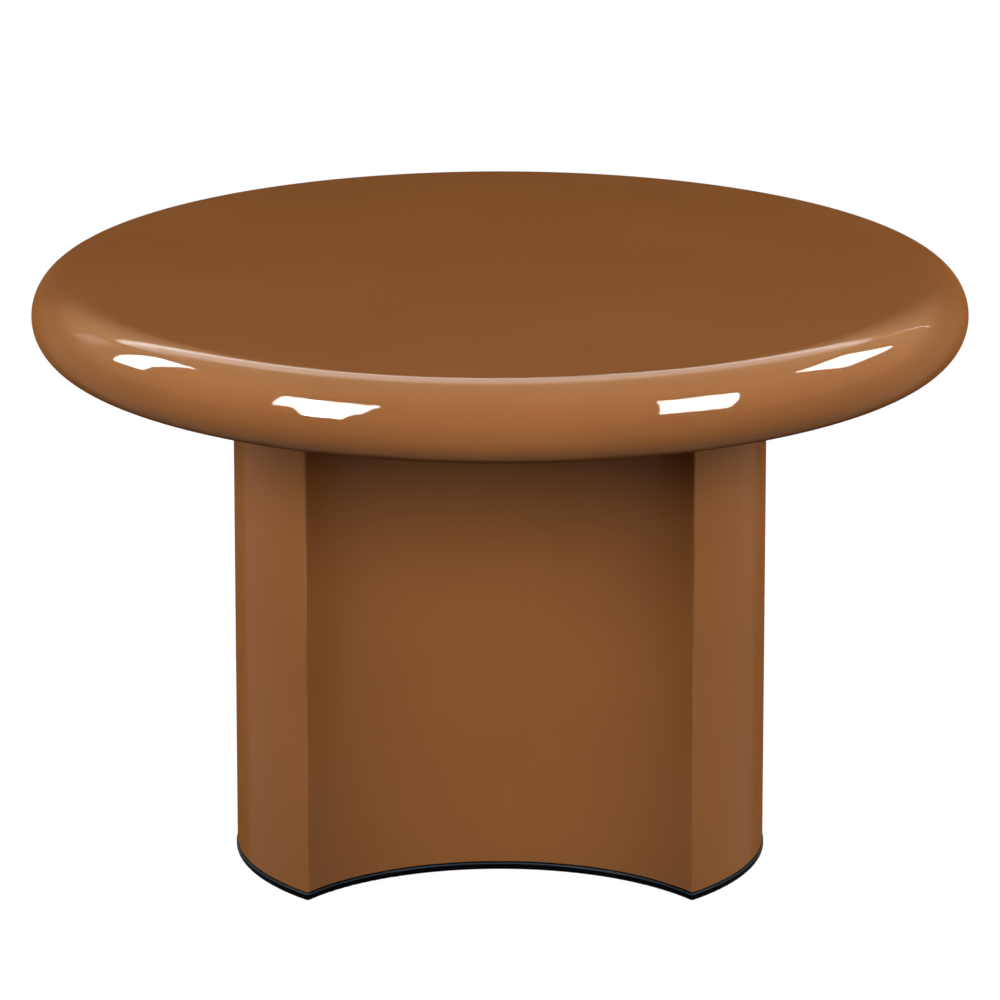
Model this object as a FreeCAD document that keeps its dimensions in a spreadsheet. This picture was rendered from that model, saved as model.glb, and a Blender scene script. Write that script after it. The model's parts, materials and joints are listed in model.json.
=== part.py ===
"""Round side table: a thick top with a fully rounded edge, eased into its face, on a hollow
pedestal that is scooped in front and behind, standing on a thin plinth.

Millimetres, +Z up.  The origin lies on the floor, on the axis of the top.  The front faces -Y.
"""
import FreeCAD, Part
import math
import os
import Sketcher

Vector = FreeCAD.Vector

# Driving dimensions, in millimetres and degrees
DIMENSIONS = {
    "overall_height": 450.0,
    "top_diameter": 700.0,
    "top_thickness": 60.0,
    "edge_ease_radius": 60.0,
    "edge_ease_angle": 15.0,
    "deck_thickness": 18.0,
    "rim_width": 70.0,
    "hub_diameter": 360.0,
    "rib_thickness": 24.0,
    "base_diameter": 400.0,
    "scoop_radius": 175.0,
    "waist_width": 131.0,
    "panel_thickness": 9.0,
    "arris_radius": 1.5,
    "post_leg": 34.0,
    "top_former_thickness": 25.0,
    "former_thickness": 18.0,
    "hand_hole_diameter": 100.0,
    "hand_hole_margin": 30.0,
    "plinth_thickness": 6.5,
    "plinth_overhang": 0.8,
    "plinth_edge_radius": 2.4,
    "plinth_corner_radius": 3.0,
    "bolt_diameter": 8.0,
    "bolt_spacing": 70.0,
    "bolt_head_diameter": 13.0,
    "bolt_head_height": 8.0,
    "bolt_chamfer": 0.8,
    "bolt_tip_setback": 1.0,
    "bolt_clearance": 0.5,
    "socket_width": 6.0,
    "socket_depth": 4.0,
    "washer_diameter": 22.0,
    "washer_thickness": 2.0,
    "washer_clearance": 0.2,
    "insert_diameter": 12.0,
    "insert_recess": 0.5,
    "insert_setback": 2.0,
    "thread_clearance": 0.1,
    "dowel_diameter": 10.0,
    "dowel_spacing": 120.0,
    "dowel_depth_above": 14.0,
    "dowel_depth_below": 20.0,
    "dowel_end_gap": 1.0,
    "dowel_chamfer": 1.0,
    "screw_diameter": 4.0,
    "screw_length": 20.0,
    "screw_point_length": 4.0,
    "screw_head_diameter": 8.0,
    "screw_recess": 0.5,
    "screw_clearance": 0.1,
    "screw_hole_diameter": 4.5,
    "screw_edge_distance": 13.0,
    "end_screw_angle": 19.0,
    "scoop_screw_angle": 17.0,
}

# Rim segments and ribs of the top, one rib behind the middle of each segment
RIM_PARTS = 8
RIM_ANGLE = 360 / RIM_PARTS

# Sizes that follow from the driving dimensions, as formulas over the sheet
TOP_UNDERSIDE = "(size.overall_height - size.top_thickness)"
CORE_BOTTOM = "(size.overall_height - size.top_thickness + size.deck_thickness)"
CORE_TOP = "(size.overall_height - size.deck_thickness)"
CORE_HEIGHT = "(size.top_thickness - 2 * size.deck_thickness)"
EASE_DROP = "(size.edge_ease_radius * (1 - cos(size.edge_ease_angle)))"
EDGE_RADIUS = f"((size.top_thickness - {EASE_DROP}) / (1 + cos(size.edge_ease_angle)))"
EDGE_CENTRE_OUT = f"(size.top_diameter / 2 - {EDGE_RADIUS})"
EDGE_CENTRE_UP = f"({TOP_UNDERSIDE} + {EDGE_RADIUS})"
EASE_CENTRE_OUT = (
    f"({EDGE_CENTRE_OUT} - (size.edge_ease_radius - {EDGE_RADIUS}) * sin(size.edge_ease_angle))"
)
EASE_CENTRE_UP = "(size.overall_height - size.edge_ease_radius)"
EASE_END_OUT = f"({EDGE_CENTRE_OUT} + {EDGE_RADIUS} * sin(size.edge_ease_angle))"
EASE_END_UP = f"(size.overall_height - {EASE_DROP})"
RIM_INNER_RADIUS = "(size.top_diameter / 2 - size.rim_width)"
HUB_RADIUS = "(size.hub_diameter / 2)"

END_RADIUS = "(size.base_diameter / 2)"
END_INNER_RADIUS = "(size.base_diameter / 2 - size.panel_thickness)"
SCOOP_RADIUS = "size.scoop_radius"
SCOOP_INNER_RADIUS = "(size.scoop_radius + size.panel_thickness)"
SCOOP_CENTRE_OUT = "(size.waist_width / 2 + size.scoop_radius)"
PLINTH_END_RADIUS = "(size.base_diameter / 2 + size.plinth_overhang)"
PLINTH_SCOOP_RADIUS = "(size.scoop_radius - size.plinth_overhang)"
PANEL_HEIGHT = f"({TOP_UNDERSIDE} - size.plinth_thickness)"

BOTTOM_FORMER_BASE = "size.plinth_thickness"
TOP_FORMER_BASE = f"({TOP_UNDERSIDE} - size.top_former_thickness)"
MIDDLE_FORMER_BASE = f"(({BOTTOM_FORMER_BASE} + {TOP_FORMER_BASE}) / 2)"

HAND_HOLE_RADIUS = "(size.hand_hole_diameter / 2)"
HAND_HOLE_OUT = f"({END_INNER_RADIUS} - size.hand_hole_margin - {HAND_HOLE_RADIUS})"
BOLT_OUT = HAND_HOLE_OUT
BOLT_ASIDE = "(size.bolt_spacing / 2)"
BOLT_LENGTH = (
    "(size.washer_thickness + size.top_former_thickness + size.deck_thickness"
    " - size.insert_setback - size.bolt_tip_setback)"
)
DOWEL_OUT = "(size.dowel_spacing / 2)"
SCREW_END_REACH = f"({END_INNER_RADIUS} - size.screw_edge_distance)"
SCREW_SCOOP_REACH = f"({SCOOP_INNER_RADIUS} + size.screw_edge_distance)"
SCREW_DEPTH = "(size.screw_recess + size.screw_length)"

# Centres of the arcs: formulas for the sketch's two directions, None for a place on the axis
AXIS = (None, None)
FRONT = (None, f"-{SCOOP_CENTRE_OUT}")
BACK = (None, SCOOP_CENTRE_OUT)
EDGE = (EDGE_CENTRE_OUT, EDGE_CENTRE_UP)
EASE = (EASE_CENTRE_OUT, EASE_CENTRE_UP)

# The sketcher's numbers for its own origin and upright axis, and for the points of an arc or a line
ORIGIN, UP_AXIS = -1, -2
START, END, CENTRE = 1, 2, 3

SIDES = (-1, 1)

doc = FreeCAD.newDocument("side_table")
sheet = doc.addObject("Spreadsheet::Sheet", "size")
for row, (alias, value) in enumerate(DIMENSIONS.items(), start=1):
    sheet.set(f"A{row}", alias)
    sheet.set(f"B{row}", str(value))
    sheet.setAlias(f"B{row}", alias)
doc.recompute()


def number(formula):
    """Value of a formula over the sheet, or zero for a place on the axis."""
    if formula is None:
        return 0.0
    result = sheet.evalExpression(formula)
    return float(getattr(result, "Value", result))


def on_side(side, formula):
    """The formula, taken to one side of an axis."""
    return formula if side > 0 else f"-1 * {formula}"


def new_body(label):
    body = doc.addObject("PartDesign::Body", label)
    body.Label = label
    return body


def new_sketch(body, purpose, role="XY_Plane", height=None):
    """Sketch on one of the body's own planes, raised along the plane's normal by a formula."""
    plane = next(feature for feature in body.Origin.OriginFeatures if feature.Role == role)
    sketch = body.newObject("Sketcher::SketchObject", f"{body.Name}_{purpose}")
    sketch.AttachmentSupport = [(plane, "")]
    sketch.MapMode = "FlatFace"
    if height is not None:
        sketch.setExpression("AttachmentOffset.Base.z", height)
    return sketch


def bind(sketch, formula, kind, *where):
    """Add a dimension to the sketch and tie it to a formula."""
    index = sketch.addConstraint(Sketcher.Constraint(kind, *where, number(formula)))
    sketch.setExpression(f"Constraints[{index}]", formula)


def bind_point(sketch, geometry, point, place):
    """Tie a point of the sketch to a pair of formulas, None holding it on the axis."""
    out, up = place
    if out is None and up is None:
        sketch.addConstraint(Sketcher.Constraint("Coincident", geometry, point, ORIGIN, START))
        return
    if out is None:
        sketch.addConstraint(Sketcher.Constraint("PointOnObject", geometry, point, UP_AXIS))
    else:
        bind(sketch, out, "DistanceX", ORIGIN, START, geometry, point)
    if up is None:
        sketch.addConstraint(Sketcher.Constraint("PointOnObject", geometry, point, ORIGIN))
    else:
        bind(sketch, up, "DistanceY", ORIGIN, START, geometry, point)


def arc_between(first, last, middle, radius):
    """Arc of less than half a turn, with its start and end as they lie between two corners."""
    from_middle = first - middle
    to_middle = last - middle
    forward = from_middle.cross(to_middle).z > 0
    if not forward:
        from_middle, to_middle = to_middle, from_middle
    start_angle = math.atan2(from_middle.y, from_middle.x)
    end_angle = math.atan2(to_middle.y, to_middle.x)
    if end_angle < start_angle:
        end_angle += 2 * math.pi
    circle = Part.Circle(middle, Vector(0, 0, 1), radius)
    arc = Part.ArcOfCircle(circle, start_angle, end_angle)
    return arc, (START, END) if forward else (END, START)


def add_loop(sketch, corners, edges, loose=()):
    """Closed loop through corners.  Edge i leaves corner i: None for a straight line, or the
    centre and radius of an arc.  The centre of a loose edge is left to follow from its ends.
    Returns geometry, start and end for each edge."""
    drawn = []
    for index, edge in enumerate(edges):
        first = corners[index]
        last = corners[(index + 1) % len(corners)]
        if edge is None:
            geometry = sketch.addGeometry(Part.LineSegment(first, last), False)
            drawn.append((geometry, START, END))
            continue
        centre, radius = edge
        middle = Vector(number(centre[0]), number(centre[1]), 0)
        arc, (start, end) = arc_between(first, last, middle, number(radius))
        geometry = sketch.addGeometry(arc, False)
        if index not in loose:
            bind_point(sketch, geometry, CENTRE, centre)
        bind(sketch, radius, "Radius", geometry)
        drawn.append((geometry, start, end))
    for (geometry, _, end), (following, start, _) in zip(drawn, drawn[1:] + drawn[:1]):
        sketch.addConstraint(Sketcher.Constraint("Coincident", geometry, end, following, start))
    return drawn


def add_polygon(sketch, places):
    """Closed polygon whose corners are pairs of formulas."""
    corners = [Vector(number(out), number(up), 0) for out, up in places]
    drawn = add_loop(sketch, corners, [None] * len(corners))
    for (geometry, start, _), place in zip(drawn, places):
        bind_point(sketch, geometry, start, place)


def add_circle(sketch, place, radius):
    middle = Vector(number(place[0]), number(place[1]), 0)
    circle = Part.Circle(middle, Vector(0, 0, 1), number(radius))
    geometry = sketch.addGeometry(circle, False)
    bind_point(sketch, geometry, CENTRE, place)
    bind(sketch, radius, "Radius", geometry)


def pad(body, sketch, length):
    feature = body.newObject("PartDesign::Pad", f"{body.Name}_pad")
    feature.Profile = sketch
    feature.setExpression("Length", length)
    return feature


def cut_up(body, sketch, purpose, depth):
    """Pocket from the sketch's plane upwards."""
    feature = body.newObject("PartDesign::Pocket", f"{body.Name}_{purpose}_cut")
    feature.Profile = sketch
    feature.Reversed = True
    feature.setExpression("Length", depth)
    return feature


def revolve(body, sketch, angle):
    """Turn a sketch about its upright axis, half the angle to either side."""
    feature = body.newObject("PartDesign::Revolution", f"{body.Name}_turned")
    feature.Profile = sketch
    feature.ReferenceAxis = (sketch, ["V_Axis"])
    feature.Midplane = True
    feature.Angle = angle
    return feature


def turned_body(label, places):
    """Body turned about the upright axis from a polygon of formulas."""
    body = new_body(label)
    sketch = new_sketch(body, "profile", "XZ_Plane")
    add_polygon(sketch, places)
    revolve(body, sketch, 360)
    return body


def group_of(label, original, places, height):
    """One node of identical pieces: a link to the original at each place."""
    links = []
    for index, (out, aside) in enumerate(places, start=1):
        link = doc.addObject("App::Link", f"{label}_{index}")
        link.LinkedObject = original
        for direction, formula in (("x", out), ("y", aside), ("z", height)):
            if formula is not None:
                link.setExpression(f"Placement.Base.{direction}", formula)
        links.append(link)
    group = doc.addObject("Part::Compound", label)
    group.Label = label
    group.Links = links
    return group


def round_edges(body, base, purpose, radius, wanted):
    """Fillet the edges of a feature that a test picks out."""
    doc.recompute()
    names = [
        f"Edge{index}"
        for index, edge in enumerate(base.Shape.Edges, start=1)
        if wanted(edge)
    ]
    feature = body.newObject("PartDesign::Fillet", f"{body.Name}_{purpose}_fillet")
    feature.Base = (base, names)
    feature.setExpression("Radius", radius)
    return feature


def is_upright(edge):
    box = edge.BoundBox
    return max(box.XLength, box.YLength) < Part.Precision.approximation() < box.ZLength


def is_level(edge):
    return edge.BoundBox.ZLength < Part.Precision.approximation()


# Places on the pedestal's plan, worked out at the front right and taken to the other corners

def crossing(end_radius, scoop_radius):
    """Corner where a circle about the table's axis meets one about the front scoop's centre."""
    end = number(end_radius)
    scoop = number(scoop_radius)
    apart = number(SCOOP_CENTRE_OUT)
    ahead = (end ** 2 - scoop ** 2 + apart ** 2) / (2 * apart)
    return Vector(math.sqrt(end ** 2 - ahead ** 2), -ahead, 0)


def taken_to(point, right_left, back_front):
    """A front right point, taken to another corner of the plan."""
    return Vector(point.x * right_left, -point.y * back_front, 0)


def stepped(point, middle, chord):
    """Point one chord further, anticlockwise, on the circle about a middle."""
    arm = point - middle
    turn = 2 * math.asin(chord / 2 / arm.Length)
    cosine, sine = math.cos(turn), math.sin(turn)
    return middle + Vector(arm.x * cosine - arm.y * sine, arm.x * sine + arm.y * cosine, 0)


def scoop_of(back_front):
    return BACK if back_front > 0 else FRONT


def post_corners():
    """The three corners of the front right post: inner arris, along the end, along the scoop."""
    leg = number("size.post_leg")
    inner_arris = crossing(END_INNER_RADIUS, SCOOP_INNER_RADIUS)
    along_end = stepped(inner_arris, Vector(), leg)
    along_scoop = stepped(inner_arris, Vector(0, number(FRONT[1]), 0), leg)
    return inner_arris, along_end, along_scoop


# The top

def edge_reach(height):
    """How far from the axis the rounded edge comes at a height, below the easing."""
    rise = number(height) - number(EDGE_CENTRE_UP)
    return number(EDGE_CENTRE_OUT) + math.sqrt(number(EDGE_RADIUS) ** 2 - rise ** 2)


def make_top_deck():
    """Upper disc: its face is eased by a wide arc into its share of the rounded edge."""
    body = new_body("top_deck")
    sketch = new_sketch(body, "profile", "XZ_Plane")
    face = "size.overall_height"
    corners = [
        Vector(0, number(face), 0),
        Vector(number(EASE_CENTRE_OUT), number(face), 0),
        Vector(number(EASE_END_OUT), number(EASE_END_UP), 0),
        Vector(edge_reach(CORE_TOP), number(CORE_TOP), 0),
        Vector(0, number(CORE_TOP), 0),
    ]
    edges = [None, (EASE, "size.edge_ease_radius"), (EDGE, EDGE_RADIUS), None, None]
    flat, _, arc, inside, _ = add_loop(sketch, corners, edges, loose=[1])
    for line in (flat, inside):
        sketch.addConstraint(Sketcher.Constraint("Horizontal", line[0]))
    bind_point(sketch, flat[0], START, (None, face))
    bind(sketch, EASE_CENTRE_OUT, "DistanceX", ORIGIN, START, flat[0], END)
    bind(sketch, EASE_END_UP, "DistanceY", ORIGIN, START, arc[0], arc[1])
    bind_point(sketch, inside[0], END, (None, CORE_TOP))
    revolve(body, sketch, 360)
    return body


def make_rim_segment(index):
    body = new_body(f"rim_segment_{index + 1}")
    sketch = new_sketch(body, "profile", "XZ_Plane")
    inner, low, high = number(RIM_INNER_RADIUS), number(CORE_BOTTOM), number(CORE_TOP)
    corners = [
        Vector(inner, low, 0),
        Vector(edge_reach(CORE_BOTTOM), low, 0),
        Vector(edge_reach(CORE_TOP), high, 0),
        Vector(inner, high, 0),
    ]
    lower, _, upper, back = add_loop(sketch, corners, [None, (EDGE, EDGE_RADIUS), None, None])
    for line in (lower, upper):
        sketch.addConstraint(Sketcher.Constraint("Horizontal", line[0]))
    sketch.addConstraint(Sketcher.Constraint("Vertical", back[0]))
    bind_point(sketch, lower[0], START, (RIM_INNER_RADIUS, CORE_BOTTOM))
    bind(sketch, CORE_TOP, "DistanceY", ORIGIN, START, upper[0], END)
    revolve(body, sketch, RIM_ANGLE)
    body.Placement.Rotation = FreeCAD.Rotation(Vector(0, 0, 1), index * RIM_ANGLE)
    return body


def make_rib(index):
    """Bar from the hub to the rim, with ends that fit the round faces of both."""
    body = new_body(f"core_rib_{index + 1}")
    sketch = new_sketch(body, "plan", height=CORE_BOTTOM)
    half = "(size.rib_thickness / 2)"
    aside = number(half)
    near = math.sqrt(number(HUB_RADIUS) ** 2 - aside ** 2)
    far = math.sqrt(number(RIM_INNER_RADIUS) ** 2 - aside ** 2)
    corners = [
        Vector(near, -aside, 0),
        Vector(far, -aside, 0),
        Vector(far, aside, 0),
        Vector(near, aside, 0),
    ]
    edges = [None, (AXIS, RIM_INNER_RADIUS), None, (AXIS, HUB_RADIUS)]
    right, _, left, _ = add_loop(sketch, corners, edges)
    for line, side in ((right, -1), (left, 1)):
        sketch.addConstraint(Sketcher.Constraint("Horizontal", line[0]))
        bind(sketch, on_side(side, half), "DistanceY", ORIGIN, START, line[0], START)
    pad(body, sketch, CORE_HEIGHT)
    body.Placement.Rotation = FreeCAD.Rotation(Vector(0, 0, 1), index * RIM_ANGLE)
    return body


def make_hub():
    hub = doc.addObject("Part::Cylinder", "core_hub")
    hub.setExpression("Radius", HUB_RADIUS)
    hub.setExpression("Height", CORE_HEIGHT)
    hub.setExpression("Placement.Base.z", CORE_BOTTOM)
    return hub


BOLT_PLACES = [(on_side(x, BOLT_OUT), on_side(y, BOLT_ASIDE)) for x in SIDES for y in SIDES]
DOWEL_PLACES = [(on_side(x, DOWEL_OUT), None) for x in SIDES]


def make_under_deck():
    """Lower disc with its share of the rounded edge, and with holes from below for the threaded
    inserts and the dowels."""
    body = new_body("under_deck")
    sketch = new_sketch(body, "profile", "XZ_Plane")
    corners = [
        Vector(0, number(TOP_UNDERSIDE), 0),
        Vector(number(EDGE_CENTRE_OUT), number(TOP_UNDERSIDE), 0),
        Vector(edge_reach(CORE_BOTTOM), number(CORE_BOTTOM), 0),
        Vector(0, number(CORE_BOTTOM), 0),
    ]
    flat, arc, inside, _ = add_loop(sketch, corners, [None, (EDGE, EDGE_RADIUS), None, None])
    for line in (flat, inside):
        sketch.addConstraint(Sketcher.Constraint("Horizontal", line[0]))
    sketch.addConstraint(Sketcher.Constraint("PointOnObject", flat[0], START, UP_AXIS))
    sketch.addConstraint(Sketcher.Constraint("Vertical", arc[0], arc[1], arc[0], CENTRE))
    bind_point(sketch, inside[0], END, (None, CORE_BOTTOM))
    revolve(body, sketch, 360)
    insert_holes = new_sketch(body, "insert_holes", height=TOP_UNDERSIDE)
    for place in BOLT_PLACES:
        add_circle(insert_holes, place, "(size.insert_diameter / 2)")
    cut_up(body, insert_holes, "insert", "size.deck_thickness")
    dowel_holes = new_sketch(body, "dowel_holes", height=TOP_UNDERSIDE)
    for place in DOWEL_PLACES:
        add_circle(dowel_holes, place, "(size.dowel_diameter / 2)")
    cut_up(body, dowel_holes, "dowel", "size.dowel_depth_above")
    return body


# The pedestal's skin and posts

def make_end_panel(label, right_left):
    """Convex panel.  It runs past the scoop panels, so that the arrises are its own edges."""
    body = new_body(label)
    sketch = new_sketch(body, "plan", height="size.plinth_thickness")
    arris = crossing(END_RADIUS, SCOOP_RADIUS)
    inside = crossing(END_INNER_RADIUS, SCOOP_RADIUS)
    corners = [
        taken_to(arris, right_left, -1),
        taken_to(arris, right_left, 1),
        taken_to(inside, right_left, 1),
        taken_to(inside, right_left, -1),
    ]
    edges = [(AXIS, END_RADIUS), (BACK, SCOOP_RADIUS), (AXIS, END_INNER_RADIUS), (FRONT, SCOOP_RADIUS)]
    add_loop(sketch, corners, edges)
    panel = pad(body, sketch, PANEL_HEIGHT)
    halfway = number(END_RADIUS) - number("size.panel_thickness") / 2

    def is_arris(edge):
        foot = edge.Vertexes[0].Point
        return is_upright(edge) and math.hypot(foot.x, foot.y) > halfway

    round_edges(body, panel, "arris", "size.arris_radius", is_arris)
    return body


def make_scoop_panel(label, back_front):
    """Concave panel, held between the inner faces of the two end panels."""
    body = new_body(label)
    sketch = new_sketch(body, "plan", height="size.plinth_thickness")
    scoop = scoop_of(back_front)
    face = crossing(END_INNER_RADIUS, SCOOP_RADIUS)
    behind = crossing(END_INNER_RADIUS, SCOOP_INNER_RADIUS)
    corners = [
        taken_to(face, 1, back_front),
        taken_to(face, -1, back_front),
        taken_to(behind, -1, back_front),
        taken_to(behind, 1, back_front),
    ]
    side = (AXIS, END_INNER_RADIUS)
    add_loop(sketch, corners, [(scoop, SCOOP_RADIUS), side, (scoop, SCOOP_INNER_RADIUS), side])
    pad(body, sketch, PANEL_HEIGHT)
    return body


def make_corner_post(label, right_left, back_front):
    """Glue block that fills the corner behind an arris."""
    body = new_body(label)
    sketch = new_sketch(body, "plan", height="size.plinth_thickness")
    corners = [taken_to(point, right_left, back_front) for point in post_corners()]
    edges = [(AXIS, END_INNER_RADIUS), None, (scoop_of(back_front), SCOOP_INNER_RADIUS)]
    along_end, _, along_scoop = add_loop(sketch, corners, edges)
    for geometry, start, end in (along_end, along_scoop):
        bind(sketch, "size.post_leg", "Distance", geometry, start, geometry, end)
    pad(body, sketch, PANEL_HEIGHT)
    return body


# The formers inside the pedestal

def make_former(label, height, thickness):
    """Plate that fits inside the skin and between the corner posts."""
    body = new_body(label)
    sketch = new_sketch(body, "plan", height=height)
    arris, end_point, scoop_point = post_corners()
    corners = []
    edges = []
    for right_left, back_front in ((1, -1), (1, 1), (-1, 1), (-1, -1)):
        at_end = taken_to(end_point, right_left, back_front)
        at_scoop = taken_to(scoop_point, right_left, back_front)
        if right_left == -back_front:
            corners += [at_scoop, at_end]
            edges += [None, (AXIS, END_INNER_RADIUS)]
        else:
            corners += [at_end, at_scoop]
            edges += [None, (scoop_of(back_front), SCOOP_INNER_RADIUS)]
    drawn = add_loop(sketch, corners, edges)
    for index, (right_left, back_front) in enumerate(((1, -1), (1, 1), (-1, 1), (-1, -1))):
        before = drawn[2 * index - 1]
        chamfer = drawn[2 * index]
        after = drawn[2 * index + 1]
        virtual_corner = sketch.addGeometry(Part.Point(taken_to(arris, right_left, back_front)), True)
        for arc in (before, after):
            sketch.addConstraint(Sketcher.Constraint("PointOnObject", virtual_corner, START, arc[0]))
        for end in (START, END):
            bind(sketch, "size.post_leg", "Distance", virtual_corner, START, chamfer[0], end)
    pad(body, sketch, thickness)
    return body


def cut_hand_holes(body, height, thickness):
    """Openings that the bolts above are reached through."""
    sketch = new_sketch(body, "hand_holes", height=height)
    for side in SIDES:
        add_circle(sketch, (on_side(side, HAND_HOLE_OUT), None), HAND_HOLE_RADIUS)
    cut_up(body, sketch, "hand_hole", thickness)


def make_top_former():
    body = make_former("top_former", TOP_FORMER_BASE, "size.top_former_thickness")
    bolt_holes = new_sketch(body, "bolt_holes", height=TOP_FORMER_BASE)
    for place in BOLT_PLACES:
        add_circle(bolt_holes, place, "(size.bolt_diameter / 2 + size.bolt_clearance)")
    cut_up(body, bolt_holes, "bolt", "size.top_former_thickness")
    dowel_floor = f"({TOP_UNDERSIDE} - size.dowel_depth_below)"
    dowel_holes = new_sketch(body, "dowel_holes", height=dowel_floor)
    for place in DOWEL_PLACES:
        add_circle(dowel_holes, place, "(size.dowel_diameter / 2)")
    cut_up(body, dowel_holes, "dowel", "size.dowel_depth_below")
    return body


def make_middle_former():
    body = make_former("middle_former", MIDDLE_FORMER_BASE, "size.former_thickness")
    cut_hand_holes(body, MIDDLE_FORMER_BASE, "size.former_thickness")
    return body


def screw_places():
    """Two screws at each corner: one near the end panel, one near the scoop panel."""
    end_out = f"({SCREW_END_REACH} * cos(size.end_screw_angle * 1deg))"
    end_aside = f"({SCREW_END_REACH} * sin(size.end_screw_angle * 1deg))"
    scoop_out = f"({SCREW_SCOOP_REACH} * sin(size.scoop_screw_angle * 1deg))"
    scoop_aside = f"({SCOOP_CENTRE_OUT} - {SCREW_SCOOP_REACH} * cos(size.scoop_screw_angle * 1deg))"
    return [
        (on_side(x, out), on_side(y, aside))
        for out, aside in ((end_out, end_aside), (scoop_out, scoop_aside))
        for x in SIDES
        for y in SIDES
    ]


SCREW_PLACES = screw_places()


def make_bottom_former():
    body = make_former("bottom_former", BOTTOM_FORMER_BASE, "size.former_thickness")
    cut_hand_holes(body, BOTTOM_FORMER_BASE, "size.former_thickness")
    pilot_holes = new_sketch(body, "pilot_holes", height=BOTTOM_FORMER_BASE)
    for place in SCREW_PLACES:
        add_circle(pilot_holes, place, "(size.screw_diameter / 2 + size.thread_clearance)")
    cut_up(body, pilot_holes, "pilot", f"({SCREW_DEPTH} - size.plinth_thickness)")
    return body


# The plinth

def make_plinth():
    """Plate of the pedestal's outline, rounded all round, with countersunk screw holes from below."""
    body = new_body("plinth")
    sketch = new_sketch(body, "plan")
    corner = crossing(PLINTH_END_RADIUS, PLINTH_SCOOP_RADIUS)
    corners = [taken_to(corner, x, y) for x, y in ((1, -1), (1, 1), (-1, 1), (-1, -1))]
    end = (AXIS, PLINTH_END_RADIUS)
    add_loop(sketch, corners, [end, (BACK, PLINTH_SCOOP_RADIUS), end, (FRONT, PLINTH_SCOOP_RADIUS)])
    plate = pad(body, sketch, "size.plinth_thickness")
    cornered = round_edges(body, plate, "corner", "size.plinth_corner_radius", is_upright)
    round_edges(body, cornered, "edge", "size.plinth_edge_radius", is_level)
    screw_holes = new_sketch(body, "screw_holes")
    for place in SCREW_PLACES:
        add_circle(screw_holes, place, "(size.screw_hole_diameter / 2)")
    doc.recompute()
    holes = body.newObject("PartDesign::Hole", "plinth_screw_hole")
    holes.Profile = screw_holes
    doc.recompute()
    holes.Reversed = True
    holes.DepthType = "ThroughAll"
    holes.HoleCutType = "Countersink"
    holes.HoleCutCountersinkAngle = 90
    holes.setExpression("Diameter", "size.screw_hole_diameter")
    holes.setExpression(
        "HoleCutDiameter",
        "size.screw_head_diameter + 2 * size.screw_recess + 2 * size.screw_clearance",
    )
    return body


# Fasteners: each original stands at the origin, and its group holds the placed copies

def make_inserts():
    bore = "(size.bolt_diameter / 2 + size.thread_clearance)"
    outside = "(size.insert_diameter / 2)"
    low = "size.insert_recess"
    high = "(size.deck_thickness - size.insert_setback)"
    original = turned_body("insert", [(bore, low), (outside, low), (outside, high), (bore, high)])
    return group_of("top_inserts", original, BOLT_PLACES, TOP_UNDERSIDE)


def make_bolts():
    """Socket head bolt, upright, with its bearing face at the height of the origin."""
    shank = "(size.bolt_diameter / 2)"
    head = "(size.bolt_head_diameter / 2)"
    foot = "-size.bolt_head_height"
    original = turned_body("bolt", [
        (None, foot),
        (f"({head} - size.bolt_chamfer)", foot),
        (head, f"({foot} + size.bolt_chamfer)"),
        (head, None),
        (shank, None),
        (shank, f"({BOLT_LENGTH} - size.bolt_chamfer)"),
        (f"({shank} - size.bolt_chamfer)", BOLT_LENGTH),
        (None, BOLT_LENGTH),
    ])
    socket = new_sketch(original, "socket", height=foot)
    flat_half = "(size.socket_width / 2)"
    point = "(size.socket_width / sqrt(3))"
    point_half = "(size.socket_width / sqrt(3) / 2)"
    add_polygon(socket, [
        (point, None),
        (point_half, flat_half),
        (on_side(-1, point_half), flat_half),
        (on_side(-1, point), None),
        (on_side(-1, point_half), on_side(-1, flat_half)),
        (point_half, on_side(-1, flat_half)),
    ])
    cut_up(original, socket, "socket", "size.socket_depth")
    bearing = f"({TOP_FORMER_BASE} - size.washer_thickness)"
    return group_of("top_bolts", original, BOLT_PLACES, bearing)


def make_washers():
    bore = "(size.bolt_diameter / 2 + size.washer_clearance)"
    outside = "(size.washer_diameter / 2)"
    top = "size.washer_thickness"
    original = turned_body("washer", [(bore, None), (outside, None), (outside, top), (bore, top)])
    return group_of("bolt_washers", original, BOLT_PLACES, f"({TOP_FORMER_BASE} - size.washer_thickness)")


def make_dowels():
    """Dowel with its middle at the joint between pedestal and top."""
    radius = "(size.dowel_diameter / 2)"
    tip_radius = "(size.dowel_diameter / 2 - size.dowel_chamfer)"
    low = "(size.dowel_end_gap - size.dowel_depth_below)"
    high = "(size.dowel_depth_above - size.dowel_end_gap)"
    original = turned_body("dowel", [
        (None, low),
        (tip_radius, low),
        (radius, f"({low} + size.dowel_chamfer)"),
        (radius, f"({high} - size.dowel_chamfer)"),
        (tip_radius, high),
        (None, high),
    ])
    return group_of("locating_dowels", original, DOWEL_PLACES, TOP_UNDERSIDE)


def make_screws():
    """Countersunk wood screw, head down."""
    shank = "(size.screw_diameter / 2)"
    head = "(size.screw_head_diameter / 2)"
    original = turned_body("screw", [
        (None, None),
        (head, None),
        (shank, f"({head} - {shank})"),
        (shank, "(size.screw_length - size.screw_point_length)"),
        (None, "size.screw_length"),
    ])
    return group_of("plinth_screws", original, SCREW_PLACES, "size.screw_recess")


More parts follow.
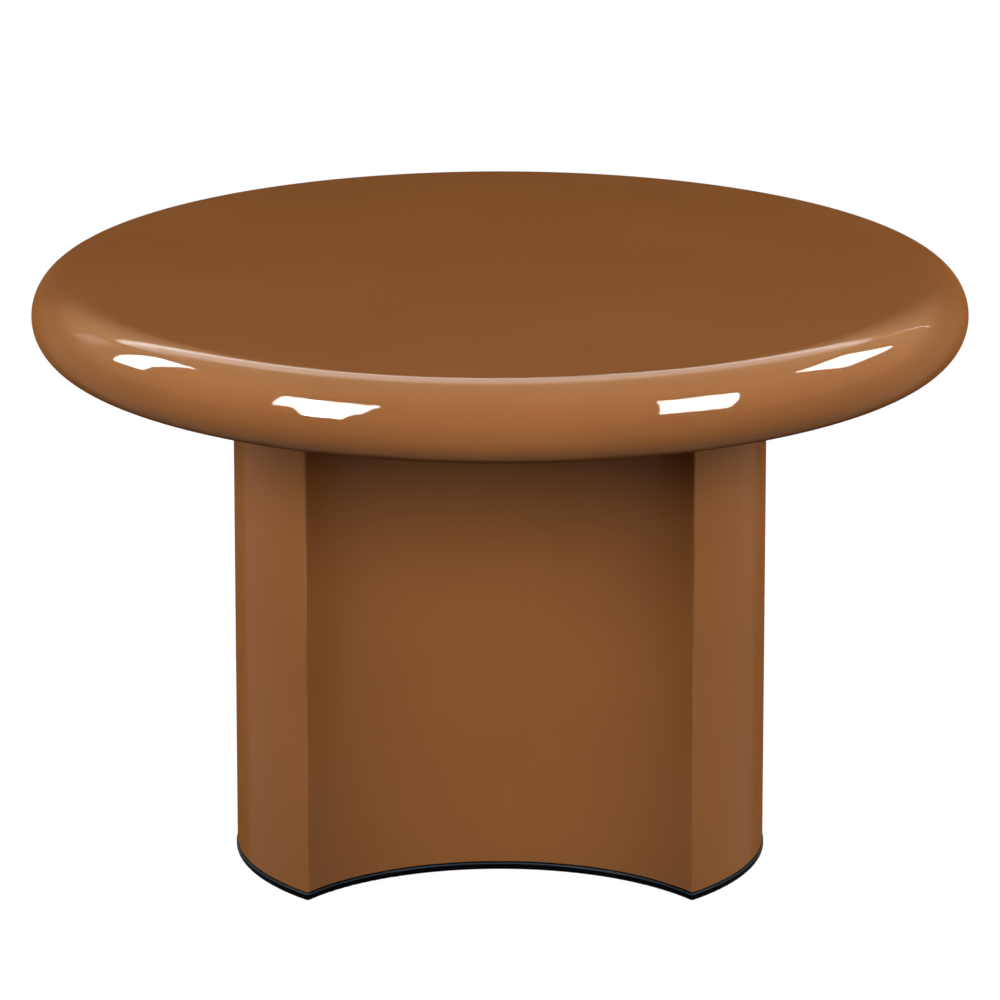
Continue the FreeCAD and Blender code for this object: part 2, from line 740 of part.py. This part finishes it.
nodes = [
    make_top_deck(),
    make_under_deck(),
    make_hub(),
    make_inserts(),
    make_end_panel("end_panel_left", -1),
    make_end_panel("end_panel_right", 1),
    make_scoop_panel("scoop_panel_front", -1),
    make_scoop_panel("scoop_panel_back", 1),
    make_top_former(),
    make_middle_former(),
    make_bottom_former(),
    make_bolts(),
    make_washers(),
    make_dowels(),
    make_plinth(),
    make_screws(),
]
for part_index in range(RIM_PARTS):
    nodes += [make_rim_segment(part_index), make_rib(part_index)]
for depth_word, depth_side in (("front", -1), ("back", 1)):
    for width_word, width_side in (("left", -1), ("right", 1)):
        post_label = f"corner_post_{depth_word}_{width_word}"
        nodes.append(make_corner_post(post_label, width_side, depth_side))

doc.recompute()
for item in doc.Objects:
    if {"Invalid", "Error"} & set(item.State):
        raise RuntimeError(f"{item.Label} did not build: {item.State}")

os.makedirs("parts", exist_ok=True)
for node in nodes:
    if node.Shape.isNull() or not node.Shape.isValid():
        raise RuntimeError(f"{node.Label} has no valid shape")
    node.Shape.exportStep(f"parts/{node.Label}.step")
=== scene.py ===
# Round side table: thick lacquered top with a rounded edge, on a pedestal with a scoop front and back.
import json
import math
import bmesh
import bpy
from mathutils import Matrix, Vector


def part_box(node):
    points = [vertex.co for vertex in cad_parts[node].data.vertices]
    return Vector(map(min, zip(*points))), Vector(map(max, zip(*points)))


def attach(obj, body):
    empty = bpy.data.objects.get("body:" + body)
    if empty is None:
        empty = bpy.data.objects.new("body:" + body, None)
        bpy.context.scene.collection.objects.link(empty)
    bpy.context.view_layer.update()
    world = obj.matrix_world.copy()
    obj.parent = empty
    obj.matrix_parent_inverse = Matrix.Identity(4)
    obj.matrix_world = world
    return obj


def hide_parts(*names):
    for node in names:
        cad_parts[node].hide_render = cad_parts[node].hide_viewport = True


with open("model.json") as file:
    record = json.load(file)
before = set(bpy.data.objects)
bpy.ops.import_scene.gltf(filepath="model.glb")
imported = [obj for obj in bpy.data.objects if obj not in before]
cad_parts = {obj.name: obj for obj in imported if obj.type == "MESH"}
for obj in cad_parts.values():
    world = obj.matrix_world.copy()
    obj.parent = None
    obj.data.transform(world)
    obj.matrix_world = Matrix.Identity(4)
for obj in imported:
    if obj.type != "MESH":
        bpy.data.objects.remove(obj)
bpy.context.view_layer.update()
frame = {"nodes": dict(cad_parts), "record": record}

# Sizes of the table, in metres
TOP_RADIUS = 0.350
TOP_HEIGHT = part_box("top_deck")[1].z
TOP_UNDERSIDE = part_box("under_deck")[0].z
EDGE_EASE_RADIUS = 0.060
EDGE_EASE_ANGLE = math.radians(15)
DECK_THICKNESS = 0.018
RIM_WIDTH = 0.070
PEDESTAL_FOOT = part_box("end_panel_left")[0].z
END_RADIUS = 0.200
SCOOP_RADIUS = 0.175
WAIST = 0.131
PANEL_THICKNESS = 0.009
ARRIS_RADIUS = 0.0015
FOOT_EDGE_RADIUS = 0.0006
INNER_CORNER_RADIUS = 0.0005

# Sizes that follow from these
EASE_DROP = EDGE_EASE_RADIUS * (1 - math.cos(EDGE_EASE_ANGLE))
EDGE_RADIUS = (TOP_HEIGHT - TOP_UNDERSIDE - EASE_DROP) / (1 + math.cos(EDGE_EASE_ANGLE))
EDGE_CENTRE_RADIUS = TOP_RADIUS - EDGE_RADIUS
EDGE_CENTRE_HEIGHT = TOP_UNDERSIDE + EDGE_RADIUS
FLAT_RADIUS = EDGE_CENTRE_RADIUS - (EDGE_EASE_RADIUS - EDGE_RADIUS) * math.sin(EDGE_EASE_ANGLE)
SCOOP_CENTRE = WAIST / 2 + SCOOP_RADIUS

# How finely the curves are divided
TURN_STEPS = 288
EASE_STEPS = 24
EDGE_STEPS = 96
END_STEPS = 96
SCOOP_STEPS = 128
CORNER_STEPS = 10
FOOT_STEPS = 4
FLAT_RINGS = (0.10, 0.20, 0.28, 0.308)
SHARP_ANGLE = math.radians(35)

# Lacquer: its colour, and its gloss, which is weaker where the surface turns away from the eye
LACQUER_COLOUR = (0.262, 0.100, 0.030, 1.0)
LACQUER_GLOSS = 0.036
GLOSS_FADE_START = 0.15
GLOSS_FADE_END = 0.76

# Plinth: heights in metres between which a paler band is painted along its rounded upper edge as a
# highlight
PLINTH_HIGHLIGHT_START = 0.0045
PLINTH_HIGHLIGHT_END = 0.0058
PLINTH_HIGHLIGHT_FADE = 0.0004
PLINTH_GLOSS = 0.002

# Camera of the photograph: place in metres, how far it looks down, and its lens on a 36 mm sensor
CAMERA_PLACE = (0.0, -5.46788, 1.81645)
CAMERA_DOWN = math.radians(15.78)
CAMERA_SENSOR = 36.0
CAMERA_LENS = 271.52
CAMERA_REACH = 200.0

# Studio, in metres, with its brightness
STUDIO_CENTRE = Vector((0.0, 0.0, 0.42))
FLOOR_RADIUS = 30.0
FLOOR_SIDES = 96
FLOOR_HEIGHT = -0.0003
FLOOR_GREY = 0.09
FLOOR_GLOW = 0.95
ROOM_GREY = 0.07
WHITE = (1.0, 1.0, 1.0, 1.0)

# Room around the studio. Heights are sines of the angle above the horizon, and places to the side
# run from -1 on the left to 1 on the right. A pair is the start and the end of a soft border.
HORIZON_FADE = (0.06, 0.34)
WALL_COLOUR = (1.0, 0.68, 0.40, 1.0)
WALL_GLOW = 6.5
CEILING_GLOW = 21.0
WALL_FOOT_RISE = 0.6
WALL_FOOT_FADE = 0.315
FRONT_WALL_SHARE = 0.3
FRONT_WALL_PLACE = -0.9
WINDOW_GLOW = 11.0
WINDOW_EDGE_GLOW = 13.0
WINDOW_LEFT_GAIN = 2.0
WINDOW_GAIN_FADE = (-0.5, 0.0)
WINDOW_LEFT_END = (-0.60, -0.57)
WINDOW_RIGHT_END = (0.38, 0.41)
WINDOW_BEHIND = (0.2, 0.3)
SILL_MIDDLE = 0.02
SILL_LOW = 0.30
SILL_HIGH = 0.565
SILL_RISE_END = 0.576
SILL_BLUR = 0.01
SILL_EDGE_FADE = (0.025, 0.05)
HEAD_LEFT = 0.68
HEAD_RIGHT = 0.615
HEAD_FALL_END = 0.15
HEAD_BLUR = 0.02
PANE_FADE = 0.05


def make_object(name, build):
    """A new mesh object, whose geometry the function build adds to an empty bmesh."""
    mesh = bpy.data.meshes.new(name)
    shape = bmesh.new()
    build(shape)
    shape.to_mesh(mesh)
    shape.free()
    mesh.shade_smooth()
    mesh.set_sharp_from_angle(angle=SHARP_ANGLE)
    made = bpy.data.objects.new(name, mesh)
    bpy.context.collection.objects.link(made)
    return made


def add_turned(shape, profile):
    """Turns a profile of (radius, height) pairs, which starts and ends on the axis, round the axis."""
    rings = []
    for radius, height in profile[1:-1]:
        ring = []
        for step in range(TURN_STEPS):
            angle = 2 * math.pi * step / TURN_STEPS
            ring.append(shape.verts.new((radius * math.cos(angle), radius * math.sin(angle), height)))
        rings.append(ring)
    first = shape.verts.new((0, 0, profile[0][1]))
    last = shape.verts.new((0, 0, profile[-1][1]))
    for step in range(TURN_STEPS):
        after = (step + 1) % TURN_STEPS
        shape.faces.new((first, rings[0][step], rings[0][after]))
        shape.faces.new((last, rings[-1][after], rings[-1][step]))
        for upper, lower in zip(rings, rings[1:]):
            shape.faces.new((upper[step], lower[step], lower[after], upper[after]))


def add_tube(shape, loops):
    """Joins closed loops of points, each to the next and the last to the first, into a closed skin."""
    rings = [[shape.verts.new(point) for point in loop] for loop in loops]
    count = len(rings[0])
    for ring, following in zip(rings, rings[1:] + rings[:1]):
        for step in range(count):
            after = (step + 1) % count
            shape.faces.new((ring[step], ring[after], following[after], following[step]))


def arc(centre_x, centre_y, radius, start, end, steps):
    """Points along an arc, from its start up to just before its end."""
    points = []
    for step in range(steps):
        angle = start + (end - start) * step / steps
        points.append((centre_x + radius * math.cos(angle), centre_y + radius * math.sin(angle)))
    return points


def pedestal_outline(inset, corner_radius, height):
    """The pedestal's outline seen from above, moved inwards by inset, as points at that height."""
    end_radius = END_RADIUS - inset
    scoop_radius = SCOOP_RADIUS + inset
    from_axis = end_radius - corner_radius
    from_scoop = scoop_radius + corner_radius
    corner_y = (SCOOP_CENTRE ** 2 + from_axis ** 2 - from_scoop ** 2) / (2 * SCOOP_CENTRE)
    corner_x = math.sqrt(from_axis ** 2 - corner_y ** 2)
    end_turn = math.atan2(corner_y, corner_x)
    scoop_turn = math.atan2(SCOOP_CENTRE - corner_y, corner_x)
    half = arc(0, 0, end_radius, -end_turn, end_turn, END_STEPS)
    half += arc(corner_x, corner_y, corner_radius, end_turn, math.pi - scoop_turn, CORNER_STEPS)
    half += arc(0, SCOOP_CENTRE, scoop_radius, -scoop_turn, scoop_turn - math.pi, SCOOP_STEPS)
    half += arc(-corner_x, corner_y, corner_radius, scoop_turn, math.pi - end_turn, CORNER_STEPS)
    other_half = [(-x, -y) for x, y in half]
    return [(x, y, height) for x, y in half + other_half]


def build_top(shape):
    """The top's skin: flat faces, a rounded edge eased into the upper face, and the core's hollow."""
    straight_up = math.pi / 2
    ease_end = straight_up - EDGE_EASE_ANGLE
    ease_centre_height = TOP_HEIGHT - EDGE_EASE_RADIUS
    upper = [(0.0, TOP_HEIGHT)] + [(radius, TOP_HEIGHT) for radius in FLAT_RINGS]
    ease = arc(FLAT_RADIUS, ease_centre_height, EDGE_EASE_RADIUS, straight_up, ease_end, EASE_STEPS)
    edge = arc(EDGE_CENTRE_RADIUS, EDGE_CENTRE_HEIGHT, EDGE_RADIUS, ease_end, -straight_up, EDGE_STEPS)
    lower_rings = (EDGE_CENTRE_RADIUS,) + FLAT_RINGS[::-1]
    lower = [(radius, TOP_UNDERSIDE) for radius in lower_rings] + [(0.0, TOP_UNDERSIDE)]
    add_turned(shape, upper + ease + edge + lower)
    hollow_radius = TOP_RADIUS - RIM_WIDTH
    hollow_floor = TOP_UNDERSIDE + DECK_THICKNESS
    hollow_roof = TOP_HEIGHT - DECK_THICKNESS
    add_turned(shape, [(0.0, hollow_floor), (hollow_radius, hollow_floor),
                       (hollow_radius, hollow_roof), (0.0, hollow_roof)])


def build_pedestal(shape):
    """The pedestal's wall: two round ends and two scoops, rounded at the arrises and along its foot."""
    loops = []
    for step in range(FOOT_STEPS + 1):
        angle = math.pi / 2 * step / FOOT_STEPS
        inset = FOOT_EDGE_RADIUS * (1 - math.sin(angle))
        height = PEDESTAL_FOOT + FOOT_EDGE_RADIUS * (1 - math.cos(angle))
        loops.append(pedestal_outline(inset, ARRIS_RADIUS - inset, height))
    loops.append(pedestal_outline(0.0, ARRIS_RADIUS, TOP_UNDERSIDE))
    loops.append(pedestal_outline(PANEL_THICKNESS, INNER_CORNER_RADIUS, TOP_UNDERSIDE))
    loops.append(pedestal_outline(PANEL_THICKNESS, INNER_CORNER_RADIUS, PEDESTAL_FOOT))
    add_tube(shape, loops)


def build_floor(shape):
    """A wide disc."""
    bmesh.ops.create_circle(shape, cap_ends=True, segments=FLOOR_SIDES, radius=FLOOR_RADIUS)


def new_material(name):
    """A node material, with its tree and its main shader."""
    material = bpy.data.materials.new(name)
    material.use_nodes = True
    return material, material.node_tree, material.node_tree.nodes["Principled BSDF"]


def add_node(tree, kind, inputs=None, **settings):
    """A new node with the given settings and the given values or links on its inputs."""
    node = tree.nodes.new(kind)
    for name, value in settings.items():
        setattr(node, name, value)
    for name, value in (inputs or {}).items():
        feed(tree, node.inputs[name], value)
    return node


def feed(tree, socket, value):
    """Links an input to a socket, or sets it to a plain value."""
    if isinstance(value, bpy.types.NodeSocket):
        tree.links.new(value, socket)
    else:
        socket.default_value = value


def noise(tree, place, scale, detail=2.0, roughness=0.5):
    """Noise of about one feature per 1/scale metres, from 0 to 1."""
    inputs = {"Vector": place, "Scale": scale, "Detail": detail, "Roughness": roughness}
    return add_node(tree, "ShaderNodeTexNoise", inputs).outputs["Fac"]


def spread(tree, value, low, high, start=0.3, end=0.7):
    """Maps a value from the range start to end, by default that of noise, on to low to high."""
    inputs = {"Value": value, "From Min": start, "From Max": end, "To Min": low, "To Max": high}
    return add_node(tree, "ShaderNodeMapRange", inputs).outputs["Result"]


def rising(tree, value, start, end):
    """0 up to start, then rising to 1 at end."""
    return spread(tree, value, 0.0, 1.0, start, end)


def falling(tree, value, start, end):
    """1 up to start, then falling to 0 at end."""
    return spread(tree, value, 1.0, 0.0, start, end)


def combine(tree, operation, first, *others):
    """Runs two or more values through one operation, one after the other."""
    for other in others:
        node = add_node(tree, "ShaderNodeMath", operation=operation)
        feed(tree, node.inputs[0], first)
        feed(tree, node.inputs[1], other)
        first = node.outputs[0]
    return first


def blend(tree, factor, first, second):
    """Mixes two colours."""
    node = add_node(tree, "ShaderNodeMix", data_type="RGBA")
    feed(tree, node.inputs[0], factor)
    feed(tree, node.inputs[6], first)
    feed(tree, node.inputs[7], second)
    return node.outputs[2]


def raise_surface(tree, height, distance, under=None):
    """A bump of that height in metres, on top of another where one is given."""
    inputs = {"Height": height, "Distance": distance, "Strength": 1.0}
    if under is not None:
        inputs["Normal"] = under
    return add_node(tree, "ShaderNodeBump", inputs).outputs["Normal"]


def object_place(tree, stretch=(1.0, 1.0, 1.0)):
    """Coordinates in metres on the object, stretched by these factors."""
    here = add_node(tree, "ShaderNodeTexCoord").outputs["Object"]
    return add_node(tree, "ShaderNodeMapping", {"Vector": here, "Scale": stretch}).outputs["Vector"]


def show_both(tree, first, second, output_name):
    """Adds two shaders and sends the sum to the output."""
    both = add_node(tree, "ShaderNodeAddShader")
    tree.links.new(first.outputs[0], both.inputs[0])
    tree.links.new(second.outputs[0], both.inputs[1])
    tree.links.new(both.outputs[0], tree.nodes[output_name].inputs["Surface"])


def seen_directly(tree, strength):
    """The strength for camera, glossy and transmission rays, and no light that falls on things."""
    path = add_node(tree, "ShaderNodeLightPath").outputs
    seen = combine(tree, "MAXIMUM",
                   path["Is Camera Ray"], path["Is Glossy Ray"], path["Is Transmission Ray"])
    return combine(tree, "MULTIPLY", seen, strength)


def shaded(colour, factor):
    """A colour made lighter or darker by a factor."""
    return tuple(channel * factor for channel in colour[:3]) + (1.0,)


def lacquer_material():
    """High-gloss caramel lacquer, with a faint orange peel and a slight waviness."""
    material, tree, shader = new_material("brown_lacquer_finish")
    place = object_place(tree)
    cloud = spread(tree, noise(tree, place, scale=7.0, detail=3.0), 0.0, 1.0)
    clouded = blend(tree, cloud, shaded(LACQUER_COLOUR, 0.96), shaded(LACQUER_COLOUR, 1.04))
    feed(tree, shader.inputs["Base Color"], clouded)
    feed(tree, shader.inputs["Roughness"], spread(tree, noise(tree, place, scale=35.0), 0.02, 0.035))
    wave = raise_surface(tree, noise(tree, place, scale=18.0, detail=1.0), 0.00006)
    peel = raise_surface(tree, noise(tree, place, scale=420.0, detail=1.0), 0.000004, under=wave)
    feed(tree, shader.inputs["Normal"], peel)
    shader.inputs["IOR"].default_value = 1.5
    facing = add_node(tree, "ShaderNodeLayerWeight", {"Blend": 0.5}).outputs["Facing"]
    gloss = spread(tree, facing, LACQUER_GLOSS, 0.0, GLOSS_FADE_START, GLOSS_FADE_END)
    feed(tree, shader.inputs["Specular IOR Level"], gloss)
    return material


def plinth_material():
    """Dull black plastic with a fine grain, with a painted highlight: a paler bluish band along its
    rounded upper edge.
    """
    material, tree, shader = new_material("black_plinth_finish")
    deep_black = (0.0013, 0.0014, 0.0018, 1.0)
    pale_black = (0.0024, 0.0026, 0.0033, 1.0)
    # Bluish grey of the painted highlight along the rounded upper edge
    highlight_grey = (0.024, 0.038, 0.048, 1.0)
    place = object_place(tree)
    speckle = spread(tree, noise(tree, place, scale=900.0), 0.0, 1.0)
    black = blend(tree, speckle, deep_black, pale_black)
    # Painted highlight: the band between the two heights along the rounded upper edge is coloured paler
    height = add_node(tree, "ShaderNodeSeparateXYZ", {"Vector": place}).outputs["Z"]
    above = rising(tree, height, PLINTH_HIGHLIGHT_START, PLINTH_HIGHLIGHT_START + PLINTH_HIGHLIGHT_FADE)
    below = falling(tree, height, PLINTH_HIGHLIGHT_END - PLINTH_HIGHLIGHT_FADE, PLINTH_HIGHLIGHT_END)
    painted_highlight = combine(tree, "MULTIPLY", above, below)
    feed(tree, shader.inputs["Base Color"], blend(tree, painted_highlight, black, highlight_grey))
    feed(tree, shader.inputs["Roughness"], spread(tree, noise(tree, place, scale=300.0), 0.30, 0.38))
    feed(tree, shader.inputs["Normal"], raise_surface(tree, noise(tree, place, scale=1500.0), 0.000002))
    shader.inputs["Specular IOR Level"].default_value = PLINTH_GLOSS
    return material


def fibreboard_material():
    """Bare fibreboard: tan, with fine matted fibres and a few darker specks."""
    material, tree, shader = new_material("raw_fibreboard_finish")
    dark_tan = (0.250, 0.160, 0.085, 1.0)
    pale_tan = (0.420, 0.295, 0.170, 1.0)
    speck_brown = (0.12, 0.07, 0.035, 1.0)
    place = object_place(tree)
    layered = object_place(tree, stretch=(1.0, 1.0, 4.0))
    fibres = spread(tree, noise(tree, layered, scale=320.0, detail=6.0, roughness=0.65), 0.0, 1.0)
    specks = rising(tree, noise(tree, place, scale=900.0), 0.66, 0.74)
    matted = blend(tree, fibres, dark_tan, pale_tan)
    feed(tree, shader.inputs["Base Color"], blend(tree, specks, matted, speck_brown))
    feed(tree, shader.inputs["Roughness"], spread(tree, fibres, 0.78, 0.92, 0.0, 1.0))
    feed(tree, shader.inputs["Normal"], raise_surface(tree, fibres, 0.00015))
    return material


def wood_material(name, early, late, rings, gloss):
    """Plain sawn wood with its grain along the height: rings, fine fibres and pores."""
    material, tree, shader = new_material(name)
    along_grain = object_place(tree, stretch=(1.0, 1.0, 0.06))
    along_fibre = object_place(tree, stretch=(1.0, 1.0, 0.03))
    bands = add_node(tree, "ShaderNodeTexWave", {
        "Vector": along_grain, "Scale": rings, "Distortion": 5.0, "Detail": 3.0, "Detail Scale": 1.6},
        wave_type="RINGS", rings_direction="Z", wave_profile="SAW").outputs["Fac"]
    fibres = spread(tree, noise(tree, along_fibre, scale=700.0, detail=4.0), 0.0, 1.0)
    banded = blend(tree, bands, early, late)
    pores = spread(tree, fibres, 0.0, 0.35, 0.0, 1.0)
    feed(tree, shader.inputs["Base Color"], blend(tree, pores, banded, shaded(late, 0.6)))
    feed(tree, shader.inputs["Roughness"], spread(tree, fibres, gloss, gloss + 0.12, 0.0, 1.0))
    feed(tree, shader.inputs["Normal"], raise_surface(tree, fibres, 0.00008))
    return material


def metal_material(name, dull, bright, roughness):
    """Plated metal, with slight cloudiness and fine turning marks."""
    material, tree, shader = new_material(name)
    place = object_place(tree)
    turned = object_place(tree, stretch=(1.0, 1.0, 12.0))
    cloud = spread(tree, noise(tree, place, scale=260.0, detail=4.0), 0.0, 1.0)
    feed(tree, shader.inputs["Base Color"], blend(tree, cloud, dull, bright))
    feed(tree, shader.inputs["Roughness"], spread(tree, cloud, roughness + 0.1, roughness, 0.0, 1.0))
    feed(tree, shader.inputs["Normal"], raise_surface(tree, noise(tree, turned, scale=500.0), 0.00001))
    shader.inputs["Metallic"].default_value = 1.0
    return material


def floor_material():
    """Pale floor that shows white, while the object's shadow stays and little light comes back."""
    material, tree, shader = new_material("studio_floor")
    tree.nodes.remove(shader)
    grey = (FLOOR_GREY, FLOOR_GREY, FLOOR_GREY, 1.0)
    matt = add_node(tree, "ShaderNodeBsdfDiffuse", {"Color": grey})
    glow = add_node(tree, "ShaderNodeEmission", {"Strength": seen_directly(tree, FLOOR_GLOW)})
    show_both(tree, matt, glow, "Material Output")
    material.cycles.emission_sampling = "NONE"
    return material


def window_glow(tree, sky, bearing):
    """A long window behind the table. It is brightest along its sill, which rises to both sides, and
    towards its left end."""
    offset = combine(tree, "SUBTRACT", sky["X"], SILL_MIDDLE)
    sideways = combine(tree, "MAXIMUM", offset, combine(tree, "MULTIPLY", offset, -1.0))
    root = combine(tree, "POWER", sideways, 0.5)
    sill = spread(tree, root, SILL_LOW, SILL_HIGH, 0.0, SILL_RISE_END)
    head = spread(tree, bearing["X"], HEAD_LEFT, HEAD_RIGHT, 0.0, HEAD_FALL_END)
    above_sill = combine(tree, "SUBTRACT", sky["Z"], sill)
    below_head = combine(tree, "SUBTRACT", head, sky["Z"])
    pane = spread(tree, below_head, 0.0, WINDOW_GLOW, -HEAD_BLUR, PANE_FADE)
    edge = spread(tree, above_sill, WINDOW_EDGE_GLOW, 0.0, *SILL_EDGE_FADE)
    opening = combine(tree, "MULTIPLY",
                      rising(tree, above_sill, -SILL_BLUR, SILL_BLUR),
                      rising(tree, below_head, -HEAD_BLUR, 0.0),
                      rising(tree, bearing["Y"], *WINDOW_BEHIND),
                      spread(tree, bearing["X"], 0.0, WINDOW_LEFT_GAIN, *WINDOW_LEFT_END),
                      spread(tree, bearing["X"], 1.0, 1.0 / WINDOW_LEFT_GAIN, *WINDOW_GAIN_FADE),
                      falling(tree, bearing["X"], *WINDOW_RIGHT_END))
    return combine(tree, "MULTIPLY", combine(tree, "ADD", pane, edge), opening)


def wall_glow(tree, sky, bearing):
    """Walls that get brighter up to the ceiling. They start higher behind the table than in front of
    it, and are dimmer in front."""
    up_wall = spread(tree, sky["Z"], WALL_GLOW, CEILING_GLOW, 0.0, 1.0)
    foot = combine(tree, "MULTIPLY", bearing["Y"], -WALL_FOOT_RISE)
    above_foot = rising(tree, combine(tree, "ADD", sky["Z"], foot), -WALL_FOOT_FADE, 0.0)
    front = spread(tree, sky["Y"], FRONT_WALL_SHARE, 1.0, FRONT_WALL_PLACE, 0.0)
    return combine(tree, "MULTIPLY", up_wall, above_foot, front)


def set_world():
    """A dim room. A pale band along the horizon shows behind the floor. The gloss alone also shows warm
    walls and a ceiling, and a long window high up behind the table."""
    world = bpy.data.worlds.new("studio_room")
    world.use_nodes = True
    tree = world.node_tree
    looking = add_node(tree, "ShaderNodeTexCoord").outputs["Generated"]
    sky = add_node(tree, "ShaderNodeSeparateXYZ", {"Vector": looking}).outputs
    level = add_node(tree, "ShaderNodeCombineXYZ", {"X": sky["X"], "Y": sky["Y"]}).outputs["Vector"]
    heading = add_node(tree, "ShaderNodeVectorMath", {0: level}, operation="NORMALIZE")
    bearing = add_node(tree, "ShaderNodeSeparateXYZ", {"Vector": heading.outputs["Vector"]}).outputs
    glossy = add_node(tree, "ShaderNodeLightPath").outputs["Is Glossy Ray"]

    low_sky = falling(tree, sky["Z"], *HORIZON_FADE)
    horizon = combine(tree, "MULTIPLY", low_sky, seen_directly(tree, 1.0))
    window = combine(tree, "MULTIPLY", window_glow(tree, sky, bearing), glossy)
    walls = combine(tree, "MULTIPLY", wall_glow(tree, sky, bearing), glossy)
    daylight = combine(tree, "ADD", horizon, window, ROOM_GREY)
    pale = add_node(tree, "ShaderNodeBackground", {"Color": WHITE, "Strength": daylight})
    warm = add_node(tree, "ShaderNodeBackground", {"Color": WALL_COLOUR, "Strength": walls})
    show_both(tree, pale, warm, "World Output")
    bpy.context.scene.world = world


def direction(azimuth, elevation):
    """A unit vector: degrees from the camera's side towards +X, and degrees above the horizon."""
    around = math.radians(azimuth)
    above = math.radians(elevation)
    level = math.cos(above)
    return Vector((math.sin(around) * level, -math.cos(around) * level, math.sin(above)))


def softbox(name, azimuth, elevation, distance, width, height, radiance, roll=0.0):
    """A rectangular lamp that faces the table. The camera doesn't see it."""
    light = bpy.data.lights.new(name, "AREA")
    light.shape = "RECTANGLE"
    light.size = width
    light.size_y = height
    light.energy = radiance * math.pi * width * height
    outward = direction(azimuth, elevation)
    across = Vector((0, 0, 1)).cross(outward).normalized()
    upward = outward.cross(across)
    turn = Matrix.Rotation(math.radians(roll), 3, "Z")
    facing = Matrix((across, upward, outward)).transposed() @ turn
    made = bpy.data.objects.new(name, light)
    made.matrix_world = Matrix.Translation(STUDIO_CENTRE + distance * outward) @ facing.to_4x4()
    made.visible_camera = False
    bpy.context.collection.objects.link(made)
    return made


def lamp(name, **placing):
    """A softbox that lights matt surfaces and doesn't show in the gloss."""
    made = softbox(name, **placing)
    made.visible_glossy = False
    made.visible_transmission = False


def panel(name, **placing):
    """A softbox that shows in the gloss and lights nothing else."""
    made = softbox(name, **placing)
    made.visible_diffuse = False


def set_lights():
    """Broad soft light from the front, low light from the sides and behind, and panels for the gloss."""
    lamp("front_left", azimuth=-35, elevation=20.8, distance=2.2, width=0.80, height=0.80, radiance=15.8)
    lamp("front_right", azimuth=35, elevation=17.8, distance=2.2, width=0.80, height=0.80, radiance=14.5)
    lamp("side_left", azimuth=-100, elevation=16.5, distance=2.2, width=0.80, height=1.30, radiance=7.2)
    lamp("side_right", azimuth=100, elevation=22.4, distance=2.2, width=0.80, height=0.90, radiance=11.7)
    lamp("fill_behind", azimuth=180, elevation=6, distance=5.0, width=2.40, height=1.00, radiance=13.0)
    panel("panel_front_left", azimuth=-42.7, elevation=27.7, distance=2.22,
          width=0.83, height=0.90, radiance=330.0, roll=4)
    panel("panel_front_left_low", azimuth=-41.5, elevation=10.3, distance=2.29,
          width=0.36, height=0.75, radiance=330.0, roll=11)
    panel("panel_front_left_end", azimuth=-37.7, elevation=11.7, distance=2.29,
          width=0.36, height=0.83, radiance=330.0, roll=-9)
    panel("panel_front_right", azimuth=48.0, elevation=25.5, distance=2.21,
          width=0.70, height=1.22, radiance=330.0, roll=-15)
    panel("panel_rear_left", azimuth=-105.8, elevation=32.6, distance=2.22,
          width=0.42, height=1.13, radiance=230.0, roll=25)
    panel("panel_rear_right", azimuth=110.6, elevation=38.0, distance=2.22,
          width=0.76, height=0.62, radiance=230.0, roll=-12)
    panel("film_rear_left", azimuth=-125.1, elevation=25.0, distance=2.30,
          width=0.34, height=0.60, radiance=7.0, roll=19)
    panel("strip_rear_right", azimuth=139.0, elevation=26.5, distance=2.47,
          width=0.02, height=0.80, radiance=44.0, roll=-33.5)


def set_camera():
    """The photograph's viewpoint."""
    data = bpy.data.cameras.new("photo_camera")
    data.sensor_width = CAMERA_SENSOR
    data.lens = CAMERA_LENS
    data.clip_end = CAMERA_REACH
    camera = bpy.data.objects.new("photo_camera", data)
    camera.location = CAMERA_PLACE
    camera.rotation_euler = (math.pi / 2 - CAMERA_DOWN, 0.0, 0.0)
    bpy.context.collection.objects.link(camera)
    bpy.context.scene.camera = camera


def make_floor():
    """A wide plain floor under the table."""
    floor = make_object("studio_floor", build_floor)
    floor.location.z = FLOOR_HEIGHT
    floor.data.materials.append(floor_material())


finishes = {
    "brown_lacquer": lacquer_material(),
    "black_plinth": plinth_material(),
    "raw_fibreboard": fibreboard_material(),
    "post_softwood": wood_material(
        "post_softwood_finish", early=(0.62, 0.43, 0.23, 1.0), late=(0.45, 0.25, 0.10, 1.0),
        rings=60.0, gloss=0.55),
    "dowel_beech": wood_material(
        "dowel_beech_finish", early=(0.60, 0.40, 0.24, 1.0), late=(0.50, 0.31, 0.17, 1.0),
        rings=180.0, gloss=0.5),
    "zinc_steel": metal_material(
        "zinc_steel_finish", dull=(0.50, 0.51, 0.53, 1.0), bright=(0.68, 0.69, 0.71, 1.0),
        roughness=0.28),
    "insert_brass": metal_material(
        "insert_brass_finish", dull=(0.60, 0.42, 0.16, 1.0), bright=(0.78, 0.58, 0.26, 1.0),
        roughness=0.30),
}

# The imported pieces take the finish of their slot
slot_of = {part["node"]: part["material_slot"] for part in frame["record"]["subparts"]}
for node_name, node_object in frame["nodes"].items():
    finish = finishes[slot_of[node_name]]
    node_object.data.materials.clear()
    node_object.data.materials.append(finish)

# Seamless lacquered skins stand for the boards under the lacquer
rim_nodes = [name for name in frame["nodes"] if name.startswith("rim_segment_")]
top_nodes = ["top_deck", "under_deck"] + rim_nodes
pedestal_nodes = ["end_panel_left", "end_panel_right", "scoop_panel_front", "scoop_panel_back"]
for piece_name, build, stands_for in (("lacquered_top", build_top, top_nodes),
                                      ("lacquered_pedestal", build_pedestal, pedestal_nodes)):
    piece = make_object(piece_name, build)
    piece.data.materials.append(finishes["brown_lacquer"])
    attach(piece, "root")
    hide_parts(*stands_for)

make_floor()
set_world()
set_lights()
set_camera()
bpy.context.scene.view_settings.view_transform = "Standard"
